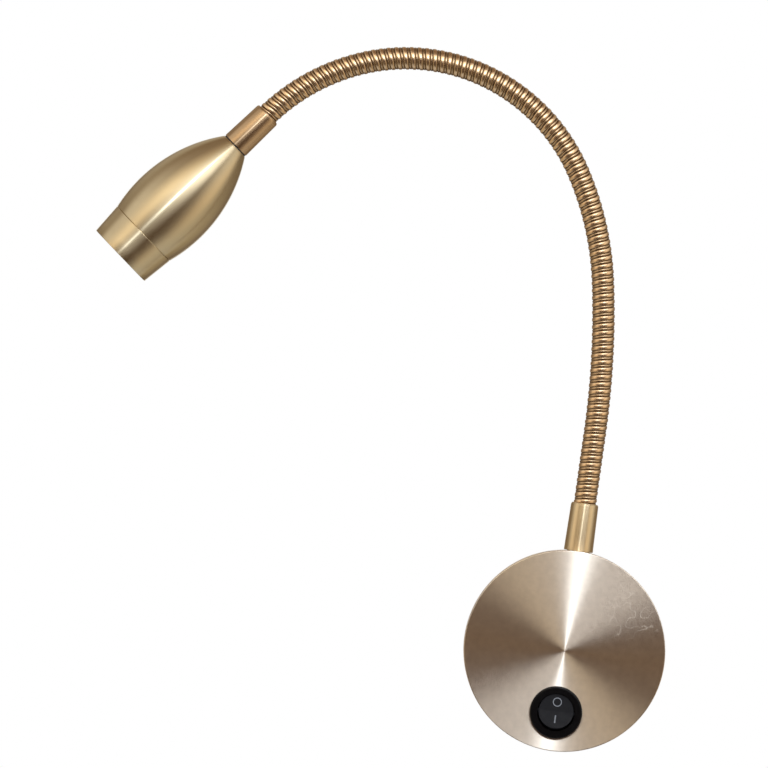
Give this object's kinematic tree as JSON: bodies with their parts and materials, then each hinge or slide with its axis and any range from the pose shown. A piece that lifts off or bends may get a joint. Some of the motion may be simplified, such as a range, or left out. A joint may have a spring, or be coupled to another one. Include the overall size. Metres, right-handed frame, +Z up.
{
  "type": "wall lamp",
  "caption": "Wall lamp with a round drum base, a rocker switch, a ribbed gooseneck that bends and sways, and a bullet-shaped LED head.",
  "frame": {"origin": "middle of the wall plate's back face", "axes": "+Y into the wall, +Z up the lamp, so the room is towards -Y"},
  "size_m": [0.2721, 0.0386, 0.2966],
  "materials": {
    "base_metal": "turned, champagne anodised",
    "head_metal": "turned, brass anodised",
    "hose_metal": "bronze plated winding",
    "ferrule_metal": "satin bronze",
    "zinc_steel": "zinc plated",
    "black_plastic": "moulded",
    "rocker_plastic": "moulded",
    "white_plastic": "moulded",
    "green_board": "printed circuit",
    "white_board": "white solder mask",
    "driver_components": "components",
    "contact_metal": "plain",
    "spring_steel": "plain",
    "lead_sheath": "sheath",
    "wire_sheath": "sheath",
    "soft_rubber": "moulded",
    "plain_aluminium": "turned",
    "emitter_yellow": "phosphor dome",
    "clear_lens": "clear, polished"
  },
  "bodies": {
    "base": {"base_cover": "base_metal", "mounting_plate": "zinc_steel", "cover_screws": "zinc_steel", "cable_grommet": "soft_rubber", "terminal_block": "white_plastic", "terminal_screws": "contact_metal", "mains_leads": "wire_sheath", "driver_case": "white_plastic", "driver_lid": "white_plastic", "driver_board": "green_board", "driver_parts": "driver_components", "base_nipple": "zinc_steel", "saddle_washer": "zinc_steel", "base_nut": "zinc_steel", "base_ferrule": "ferrule_metal", "switch_body": "black_plastic", "switch_terminals": "contact_metal", "led_lead": "lead_sheath", "neck_link_01": "hose_metal"},
    "rocker": {"switch_rocker": "rocker_plastic", "rocker_plunger": "white_plastic", "rocker_spring": "spring_steel"},
    "contact": {"contact_blade": "contact_metal"},
    "link_02": {"neck_link_02": "hose_metal"},
    "link_03": {"neck_link_03": "hose_metal"},
    "link_04": {"neck_link_04": "hose_metal"},
    "link_05": {"neck_link_05": "hose_metal"},
    "link_06": {"neck_link_06": "hose_metal"},
    "link_07": {"neck_link_07": "hose_metal"},
    "link_08": {"neck_link_08": "hose_metal"},
    "link_09": {"neck_link_09": "hose_metal"},
    "link_10": {"neck_link_10": "hose_metal"},
    "link_11": {"neck_link_11": "hose_metal"},
    "link_12": {"neck_link_12": "hose_metal"},
    "link_13": {"neck_link_13": "hose_metal"},
    "link_14": {"neck_link_14": "hose_metal"},
    "link_15": {"neck_link_15": "hose_metal"},
    "link_16": {"neck_link_16": "hose_metal"},
    "link_17": {"neck_link_17": "hose_metal"},
    "link_18": {"neck_link_18": "hose_metal"},
    "link_19": {"neck_link_19": "hose_metal"},
    "link_20": {"neck_link_20": "hose_metal"},
    "link_21": {"neck_link_21": "hose_metal"},
    "link_22": {"neck_link_22": "hose_metal"},
    "link_23": {"neck_link_23": "hose_metal"},
    "head": {"neck_link_24": "hose_metal", "head_ferrule": "ferrule_metal", "head_washer": "soft_rubber", "head_nipple": "zinc_steel", "head_nut": "zinc_steel", "head_shell": "head_metal", "heat_sink": "plain_aluminium", "led_board": "white_board", "board_screws": "zinc_steel", "led_emitter": "emitter_yellow", "led_wires": "wire_sheath", "lens_holder": "rocker_plastic", "lens": "clear_lens", "front_ring": "head_metal"}
  },
  "joints": [
    {"name": "neck_lower_sway", "type": "hinge", "parent": "base", "child": "link_02", "pos_m": [0, -0.02, 0.07788], "axis": [1, 0, 0], "range_deg": [0, 12], "deforming": ["led_lead"]},
    {"name": "neck_lower_bend", "type": "hinge", "parent": "link_02", "child": "link_03", "pos_m": [0, -0.02, 0.09075], "axis": [-0.0003, 1, 0], "range_deg": [-12, 12], "deforming": ["led_lead"]},
    {"name": "neck_lower_sway_2", "type": "hinge", "parent": "link_03", "child": "link_04", "pos_m": [-0.00006, -0.02, 0.10363], "axis": [0.9998, 0, 0.0177], "range_deg": [0, 12.02], "deforming": ["led_lead"]},
    {"name": "neck_lower_bend_2", "type": "hinge", "parent": "link_04", "child": "link_05", "pos_m": [-0.00051, -0.02, 0.1165], "axis": [-0.0003, 1, 0], "range_deg": [-12.02, 12.02], "deforming": ["led_lead"]},
    {"name": "neck_lower_sway_3", "type": "hinge", "parent": "link_05", "child": "link_06", "pos_m": [-0.0014, -0.02, 0.12934], "axis": [0.9963, 0, 0.0865], "range_deg": [0, 12.02], "deforming": ["led_lead"]},
    {"name": "neck_lower_bend_3", "type": "hinge", "parent": "link_06", "child": "link_07", "pos_m": [-0.00274, -0.02, 0.14215], "axis": [-0.0003, 1, 0], "range_deg": [-12.02, 12.02], "deforming": ["led_lead"]},
    {"name": "neck_lower_sway_4", "type": "hinge", "parent": "link_07", "child": "link_08", "pos_m": [-0.00451, -0.02, 0.1549], "axis": [0.9879, 0, 0.1548], "range_deg": [0, 12.02], "deforming": ["led_lead"]},
    {"name": "neck_upper_bend", "type": "hinge", "parent": "link_08", "child": "link_09", "pos_m": [-0.00681, -0.02, 0.16757], "axis": [0.0003, -1, 0], "range_deg": [-9.12, 2.75], "deforming": ["led_lead"]},
    {"name": "neck_upper_sway", "type": "hinge", "parent": "link_09", "child": "link_10", "pos_m": [-0.0102, -0.02, 0.17999], "axis": [0.9509, 0, 0.3095], "range_deg": [0, 13], "deforming": ["led_lead"]},
    {"name": "neck_upper_bend_2", "type": "hinge", "parent": "link_10", "child": "link_11", "pos_m": [-0.01477, -0.02, 0.19202], "axis": [0.0003, -1, 0], "range_deg": [-8.26, 2.5], "deforming": ["led_lead"]},
    {"name": "neck_upper_bend_3", "type": "hinge", "parent": "link_11", "child": "link_12", "pos_m": [-0.02046, -0.02, 0.20356], "axis": [0.0003, -1, 0], "range_deg": [-5.84, 1.77], "deforming": ["led_lead"]},
    {"name": "neck_upper_bend_4", "type": "hinge", "parent": "link_12", "child": "link_13", "pos_m": [-0.02735, -0.02, 0.21443], "axis": [0.0003, -1, 0], "range_deg": [-13.5, 4.08], "deforming": ["led_lead"]},
    {"name": "neck_upper_sway_2", "type": "hinge", "parent": "link_13", "child": "link_14", "pos_m": [-0.03581, -0.02, 0.22413], "axis": [0.7, 0, 0.7141], "range_deg": [0, 13.02], "deforming": ["led_lead"]},
    {"name": "neck_upper_bend_5", "type": "hinge", "parent": "link_14", "child": "link_15", "pos_m": [-0.04567, -0.02, 0.23238], "axis": [0.0003, -1, 0], "range_deg": [-13.5, 4.08], "deforming": ["led_lead"]},
    {"name": "neck_upper_bend_6", "type": "hinge", "parent": "link_15", "child": "link_16", "pos_m": [-0.0567, -0.02, 0.239], "axis": [0.0003, -1, 0], "range_deg": [-9.01, 2.73], "deforming": ["led_lead"]},
    {"name": "neck_upper_bend_7", "type": "hinge", "parent": "link_16", "child": "link_17", "pos_m": [-0.06863, -0.02, 0.24381], "axis": [0.0003, -1, 0], "range_deg": [-13.5, 4.08], "deforming": ["led_lead"]},
    {"name": "neck_upper_sway_3", "type": "hinge", "parent": "link_17", "child": "link_18", "pos_m": [-0.08117, -0.02, 0.2467], "axis": [0.1475, 0, 0.9891], "range_deg": [0, 13.02], "deforming": ["led_lead"]},
    {"name": "neck_upper_bend_8", "type": "hinge", "parent": "link_18", "child": "link_19", "pos_m": [-0.094, -0.02, 0.24759], "axis": [0.0003, -1, 0], "range_deg": [-13.5, 4.08], "deforming": ["led_lead"]},
    {"name": "neck_upper_bend_9", "type": "hinge", "parent": "link_19", "child": "link_20", "pos_m": [-0.10681, -0.02, 0.24647], "axis": [0.0003, -1, 0], "range_deg": [-9.01, 2.73], "deforming": ["led_lead"]},
    {"name": "neck_upper_bend_10", "type": "hinge", "parent": "link_20", "child": "link_21", "pos_m": [-0.1193, -0.02, 0.24337], "axis": [0.0003, -1, 0], "range_deg": [-12.93, 3.91], "deforming": ["led_lead"]},
    {"name": "neck_upper_sway_4", "type": "hinge", "parent": "link_21", "child": "link_22", "pos_m": [-0.13116, -0.02, 0.23839], "axis": [-0.4522, 0, 0.8919], "range_deg": [0, 13.02], "deforming": ["led_lead"]},
    {"name": "neck_upper_bend_11", "type": "hinge", "parent": "link_22", "child": "link_23", "pos_m": [-0.14219, -0.02, 0.23176], "axis": [0.0003, -1, 0], "range_deg": [-12.43, 3.76], "deforming": ["led_lead"]},
    {"name": "neck_upper_bend_12", "type": "hinge", "parent": "link_23", "child": "head", "pos_m": [-0.15214, -0.02, 0.22362], "axis": [0.0003, -1, 0], "range_deg": [-12.43, 3.76], "deforming": ["led_lead"]},
    {"name": "rocker_tilt", "type": "hinge", "parent": "base", "child": "rocker", "pos_m": [0, -0.0315, -0.027], "axis": [1, 0, 0], "range_deg": [0, 22]},
    {"name": "contact_tilt", "type": "hinge", "parent": "base", "child": "contact", "pos_m": [0, -0.02105, -0.027], "axis": [1, 0, 0], "range_deg": [-16.02, 0]}
  ],
  "couplings": [
    {"joint": "neck_lower_sway_2", "follows": "neck_lower_sway", "ratio": 1},
    {"joint": "neck_lower_bend_2", "follows": "neck_lower_bend", "ratio": 1},
    {"joint": "neck_lower_sway_3", "follows": "neck_lower_sway", "ratio": 1},
    {"joint": "neck_lower_bend_3", "follows": "neck_lower_bend", "ratio": 1},
    {"joint": "neck_lower_sway_4", "follows": "neck_lower_sway", "ratio": 1},
    {"joint": "neck_upper_bend_2", "follows": "neck_upper_bend", "ratio": 0.9031},
    {"joint": "neck_upper_bend_3", "follows": "neck_upper_bend", "ratio": 0.6379},
    {"joint": "neck_upper_bend_4", "follows": "neck_upper_bend", "ratio": 1.4773},
    {"joint": "neck_upper_sway_2", "follows": "neck_upper_sway", "ratio": 1},
    {"joint": "neck_upper_bend_5", "follows": "neck_upper_bend", "ratio": 1.4773},
    {"joint": "neck_upper_bend_6", "follows": "neck_upper_bend", "ratio": 0.9849},
    {"joint": "neck_upper_bend_7", "follows": "neck_upper_bend", "ratio": 1.4773},
    {"joint": "neck_upper_sway_3", "follows": "neck_upper_sway", "ratio": 1},
    {"joint": "neck_upper_bend_8", "follows": "neck_upper_bend", "ratio": 1.4773},
    {"joint": "neck_upper_bend_9", "follows": "neck_upper_bend", "ratio": 0.9849},
    {"joint": "neck_upper_bend_10", "follows": "neck_upper_bend", "ratio": 1.4144},
    {"joint": "neck_upper_sway_4", "follows": "neck_upper_sway", "ratio": 1},
    {"joint": "neck_upper_bend_11", "follows": "neck_upper_bend", "ratio": 1.3597},
    {"joint": "neck_upper_bend_12", "follows": "neck_upper_bend", "ratio": 1.3597},
    {"joint": "contact_tilt", "follows": "rocker_tilt", "ratio": -0.72727}
  ]
}
